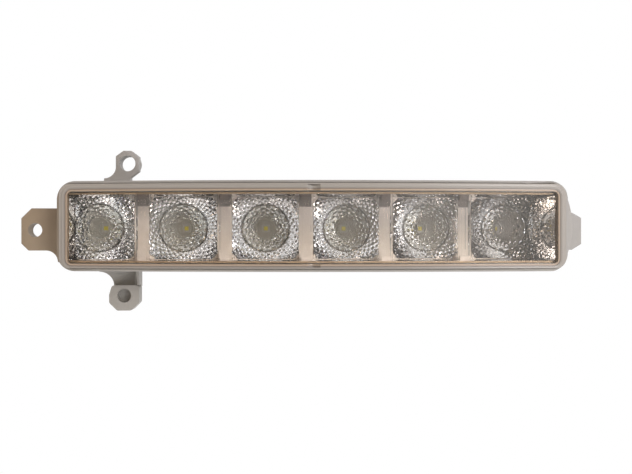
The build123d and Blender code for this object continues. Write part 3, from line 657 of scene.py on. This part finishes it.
class DRL_OT_collimators(bpy.types.Operator):
    """Models the collimator bar: six pillowed collimators joined by fluted strips"""
    bl_idname = "drl.collimators"
    bl_label = "Collimator bar"

    # Pillows round the dais's lens and outside the dais, and the mesh's steps along each form
    spin_steps = 216
    inner_sectors, inner_rings = 24, 3
    outer_sectors, outer_rings = 54, 5
    ring_steps = 5
    cup_steps = 12
    roof_steps = 5
    reach = 20.0 * MM
    flutes, flute_steps = 5, 6
    strip_lap = 0.2 * MM
    strip_inset = 0.02 * MM
    trim_in = 0.01 * MM

    def profile(self, s):
        """Half section of one collimator, from the tip of the centre lens to the roof of the pocket."""
        points = [(0.0, s.face_depth - s.centre_rise)]
        points.append((s.centre_radius - s.centre_rise / 2, s.face_depth - s.centre_rise))
        points.append((s.centre_radius, s.face_depth))
        top = s.dais_radius - s.dais_step
        count = self.ring_steps * self.inner_rings
        for i in range(1, count + 1):
            points.append((s.centre_radius + (top - s.centre_radius) * i / count, s.face_depth))
        cell_front = s.face_depth + s.dais_step
        points.append((s.dais_radius - s.dais_step / 2, cell_front + s.groove_depth))
        count = self.ring_steps * self.outer_rings
        for i in range(count + 1):
            points.append((s.dais_radius + (self.reach - s.dais_radius) * i / count, cell_front))
        cup_front = cell_front + s.cell_edge
        points.append((self.reach, cup_front))
        cup_back = bar_high.y
        for i in range(self.cup_steps + 1):
            t = i / self.cup_steps
            bulge = s.cup_bulge * 4 * t * (1 - t)
            points.append((s.cup_radius + (s.cup_rear - s.cup_radius) * t + bulge,
                           cup_front + (cup_back - cup_front) * t))
        points.append((s.pocket_radius, cup_back))
        roof = cup_back - s.pocket_depth
        for i in range(self.roof_steps, -1, -1):
            t = i / self.roof_steps
            points.append((s.pocket_radius * i / self.roof_steps, roof + s.pocket_dome * (1 - t ** 2)))
        return points

    def pillow(self, s, radius, angle):
        """How far a pillow lifts the cell's face at a place. Heights are uneven, by a fixed scatter."""
        top = s.dais_radius - s.dais_step
        if s.centre_radius < radius < top:
            along = (radius - s.centre_radius) / (top - s.centre_radius) * self.inner_rings
            sectors = self.inner_sectors
        elif radius > s.dais_radius:
            along = (radius - s.dais_radius) / (self.reach - s.dais_radius) * self.outer_rings
            sectors = self.outer_sectors
        else:
            return 0.0
        across = angle / (2 * pi) * sectors
        sector = int(across) % sectors
        along += 0.5 * (sector % 2)
        scatter = sin(12.9 * sector + 78.2 * int(along) + sectors)
        uneven = 0.8 + 0.4 * scatter
        return s.pillow_rise * uneven * abs(sin(pi * along) * sin(pi * across))

    def cell(self, s):
        """One round collimator about the light's axis, with its pillows."""
        piece = lathe("collimator_cell", self.profile(s), self.spin_steps)
        cell_front = s.face_depth + s.dais_step
        for vertex in piece.data.vertices:
            x, y, z = vertex.co
            if y < cell_front + face_tolerance:
                vertex.co.y -= self.pillow(s, hypot(x, z), atan2(z, x) % (2 * pi))
        return piece

    def strip(self, s, x):
        """One strip between two cells, with shallow upright flutes on its front."""
        pitch = middle(led_names[1]).x - middle(led_names[0]).x
        half = (pitch - s.cell_width) / 2 + self.strip_lap
        back = s.web_front + s.web_thickness
        points = [(x - half, back)]
        count = self.flutes * self.flute_steps
        for i in range(count + 1):
            across = i / count
            dip = s.flute_rise * (1 - abs(sin(pi * self.flutes * across)))
            points.append((x - half + 2 * half * across, s.web_front + dip))
        points.append((x + half, back))
        return prism("collimator_strip", points, bar_low.z + self.strip_inset, bar_high.z - self.strip_inset)

    def execute(self, context):
        s = context.scene.drl_optics
        model = self.cell(s)
        inwards = Vector((0, 0, self.trim_in))
        cells = []
        for name in led_names:
            copy = model.copy()
            copy.data = model.data.copy()
            context.collection.objects.link(copy)
            x = middle(name).x
            copy.data.transform(Matrix.Translation((x, 0, 0)))
            trim(copy, (min(x + s.cell_width / 2, bar_high.x), 0, 0), (1, 0, 0))
            trim(copy, (max(x - s.cell_width / 2, bar_low.x), 0, 0), (-1, 0, 0))
            trim(copy, bar_high - inwards, (0, 0, 1))
            trim(copy, bar_low + inwards, (0, 0, -1))
            close(copy)
            cells.append(copy)
        bpy.data.objects.remove(model)
        bar = cells[0]
        bar.name = "collimator_optics"
        for left, right, cell in zip(led_names, led_names[1:], cells[1:]):
            strip = self.strip(s, (middle(left).x + middle(right).x) / 2)
            union(bar, strip)
            union(bar, cell)
        smooth(bar)
        finish_piece(bar, nodes["collimator_bar"].data.materials[0], "clear_optic", "collimator_bar")
        return {"FINISHED"}


class DRL_OT_stage(bpy.types.Operator):
    """Makes the pale floor, the soft lamps, the world and the photograph's camera"""
    bl_idname = "drl.stage"
    bl_label = "Stage"

    floor_size, floor_height = 6.0, -0.30
    camera_place = (-16.44 * MM, -249.46 * MM, -3.86 * MM)
    camera_turn = (radians(90), 0, radians(-4))
    camera_lens = 35.6
    camera_sensor = 36.0

    # Name, place, target, size, power and colour of each lamp
    lamps = (
        ("Window", (0.42, -0.68, 0.40), (0, 0, 0), (0.30, 0.30), 3.0, "#fdfaf6"),
        ("Warm left", (-0.55, -0.45, 0.15), (0, 0, 0), (0.12, 0.25), 0.6, "#ffe6cc"),
        ("Over", (0.05, -0.25, 0.70), (0, 0, 0), (0.5, 0.2), 0.25, "#ffffff"),
        ("Low", (0.30, -0.45, -0.24), (0.03, 0, 0), (0.2, 0.1), 0.8, "#f4f6ff"),
        ("Flash", (0.30, -0.40, 0.16), (0.04, 0, 0), (0.06, 0.04), 0.3, "#ffffff"),
    )

    def floor(self, context):
        """Pale paper floor, plain white to the eye and to glass and metal."""
        bpy.ops.object.select_all(action="DESELECT")
        bpy.ops.mesh.primitive_plane_add(size=self.floor_size, location=(0, 0, 0))
        floor = context.active_object
        floor.name = "floor"
        floor.data.transform(Matrix.Translation((0, 0, self.floor_height)))
        material, tree, output = new_material("White paper")
        paper = add_node(tree, "ShaderNodeBsdfDiffuse", {"Color": linear("#e4e2de")})
        plain = add_node(tree, "ShaderNodeEmission", {"Color": white, "Strength": 1.0})
        path = add_node(tree, "ShaderNodeLightPath")
        sharp = add_node(tree, "ShaderNodeMath", links={
            0: path.outputs["Is Glossy Ray"], 1: path.outputs["Is Transmission Ray"]}, operation="MAXIMUM")
        seen = add_node(tree, "ShaderNodeMath", links={
            0: path.outputs["Is Camera Ray"], 1: sharp.outputs[0]}, operation="MAXIMUM")
        mix = add_node(tree, "ShaderNodeMixShader", links={
            0: seen.outputs[0], 1: paper.outputs[0], 2: plain.outputs[0]})
        tree.links.new(mix.outputs[0], output.inputs["Surface"])
        dress(floor, material)

    def world(self, context):
        """White to the eye and behind the lamp; before it a dimmer room for glass and metal to mirror."""
        world = bpy.data.worlds.new("Studio")
        context.scene.world = world
        world.use_nodes = True
        tree = world.node_tree
        tree.nodes.clear()
        output = add_node(tree, "ShaderNodeOutputWorld")
        place = add_node(tree, "ShaderNodeTexCoord")
        axes = add_node(tree, "ShaderNodeSeparateXYZ", links={0: place.outputs["Generated"]})
        path = add_node(tree, "ShaderNodeLightPath")

        # Patches of light and dark, warm and cool, for the pillows to sparkle with
        patch = add_node(tree, "ShaderNodeTexVoronoi", {"Scale": 6.0, "Randomness": 1.0}, {
            "Vector": place.outputs["Generated"]})
        chance = add_node(tree, "ShaderNodeSeparateColor", links={0: patch.outputs["Color"]})
        room = add_node(tree, "ShaderNodeValToRGB", links={"Fac": chance.outputs[0]}, stops=(
            (0.2, "#55524f"), (0.6, "#fffaf4")))
        glow = add_node(tree, "ShaderNodeMapRange", {
            "From Min": 0.55, "From Max": 0.95, "To Min": 0.85, "To Max": 3.0},
            {"Value": chance.outputs[1]})
        cast = add_node(tree, "ShaderNodeMix", {6: linear("#fff1df"), 7: linear("#c6ccff")},
                        {0: chance.outputs[2]}, data_type="RGBA")
        cast_room = add_node(tree, "ShaderNodeMix", {0: 1.0}, {6: room.outputs["Color"], 7: cast.outputs[2]},
                             data_type="RGBA", blend_type="MULTIPLY")

        # Warm on the left, cool on the right
        across = add_node(tree, "ShaderNodeMapRange", {"From Min": -0.8, "From Max": 0.8}, {
            "Value": axes.outputs["X"]}, interpolation_type="SMOOTHSTEP")
        side = add_node(tree, "ShaderNodeMix", {6: linear("#e2dbd2"), 7: linear("#f1f0ff")},
                        {0: across.outputs["Result"]}, data_type="RGBA")
        tinted = add_node(tree, "ShaderNodeMix", {0: 1.0}, {6: cast_room.outputs[2], 7: side.outputs[2]},
                          data_type="RGBA", blend_type="MULTIPLY")

        # A calm band at the lamp's height, which the lens and the bezel's floor mirror
        height = add_node(tree, "ShaderNodeMath", links={0: axes.outputs["Z"]}, operation="ABSOLUTE")
        aside = add_node(tree, "ShaderNodeMapRange", {"From Min": 0.10, "From Max": 0.22}, {
            "Value": height.outputs[0]}, interpolation_type="SMOOTHSTEP")
        broken = add_node(tree, "ShaderNodeMix", {6: linear("#d6d0ca")},
                          {0: aside.outputs["Result"], 7: tinted.outputs[2]}, data_type="RGBA")
        spots = add_node(tree, "ShaderNodeMix", {2: 1.3}, {
            0: aside.outputs["Result"], 3: glow.outputs["Result"]})

        # Brighter on the right, and a little less of it for matt surfaces
        share = add_node(tree, "ShaderNodeMapRange", {"To Min": 0.37, "To Max": 0.32}, {
            "Value": path.outputs["Is Diffuse Ray"]})
        slope = add_node(tree, "ShaderNodeMapRange",
                         {"From Min": -0.25, "From Max": 0.45, "To Min": 0.64, "To Max": 4.0},
                         {"Value": axes.outputs["X"]}, interpolation_type="SMOOTHSTEP")
        shared = add_node(tree, "ShaderNodeMath", links={0: spots.outputs[0], 1: share.outputs["Result"]},
                          operation="MULTIPLY")
        level = add_node(tree, "ShaderNodeMath", links={0: shared.outputs[0], 1: slope.outputs["Result"]},
                         operation="MULTIPLY")
        lit = add_node(tree, "ShaderNodeBackground", links={
            "Color": broken.outputs[2], "Strength": level.outputs[0]})

        # White to the eye, and behind the lamp
        behind = add_node(tree, "ShaderNodeMapRange", {"From Min": -0.35, "From Max": 0.25}, {
            "Value": axes.outputs["Y"]}, interpolation_type="SMOOTHSTEP")
        plain = add_node(tree, "ShaderNodeBackground", {"Color": white, "Strength": 1.0})
        seen = add_node(tree, "ShaderNodeMath", links={
            0: path.outputs["Is Camera Ray"], 1: behind.outputs["Result"]}, operation="MAXIMUM")
        mix = add_node(tree, "ShaderNodeMixShader", links={
            0: seen.outputs[0], 1: lit.outputs[0], 2: plain.outputs[0]})
        tree.links.new(mix.outputs[0], output.inputs["Surface"])

    def lamp(self, context, name, place, target, size, power, colour):
        """One soft rectangular lamp that faces a target."""
        data = bpy.data.lights.new(name, "AREA")
        data.color = linear(colour)[:3]
        data.shape = "RECTANGLE"
        data.size, data.size_y = size
        data.energy = power
        lamp = bpy.data.objects.new(name, data)
        context.collection.objects.link(lamp)
        lamp.location = place
        lamp.rotation_euler = (Vector(target) - Vector(place)).to_track_quat("-Z", "Y").to_euler()

    def camera(self, context):
        """The photograph's camera: close before the lamp, left of its middle and turned a little right."""
        data = bpy.data.cameras.new("Photo camera")
        data.sensor_width = self.camera_sensor
        data.lens = self.camera_lens
        data.clip_start = 0.01
        camera = bpy.data.objects.new("Photo camera", data)
        context.collection.objects.link(camera)
        camera.location = self.camera_place
        camera.rotation_euler = self.camera_turn
        context.scene.camera = camera

    def execute(self, context):
        self.floor(context)
        self.world(context)
        for lamp in self.lamps:
            self.lamp(context, *lamp)
        self.camera(context)
        context.scene.view_settings.view_transform = "Standard"
        return {"FINISHED"}


class DRL_PT_panel(bpy.types.Panel):
    """Lists the steps that dress the lamp, and its sizes and colours"""
    bl_label = "Running light"
    bl_idname = "DRL_PT_panel"
    bl_space_type = "VIEW_3D"
    bl_region_type = "UI"
    bl_category = "Running light"

    def draw(self, context):
        for operator in steps:
            self.layout.operator(operator.bl_idname)
        for group in (context.scene.drl_optics, context.scene.drl_finishes):
            for prop in group.bl_rna.properties:
                if not prop.is_readonly:
                    self.layout.prop(group, prop.identifier)


steps = (DRL_OT_finishes, DRL_OT_mouldings, DRL_OT_collimators, DRL_OT_stage)
classes = (OpticSizes, Finishes, *steps, DRL_PT_panel)


def register():
    """Registers the classes and gives the scene its sizes and colours."""
    for cls in classes:
        bpy.utils.register_class(cls)
    bpy.types.Scene.drl_optics = bpy.props.PointerProperty(type=OpticSizes)
    bpy.types.Scene.drl_finishes = bpy.props.PointerProperty(type=Finishes)


def unregister():
    """Takes back what register added."""
    del bpy.types.Scene.drl_finishes
    del bpy.types.Scene.drl_optics
    for cls in reversed(classes):
        bpy.utils.unregister_class(cls)


def main():
    """Dresses the lamp step by step."""
    register()
    bpy.ops.drl.finishes()
    bpy.ops.drl.mouldings()
    bpy.ops.drl.collimators()
    bpy.ops.drl.stage()


if __name__ == "__main__":
    main()
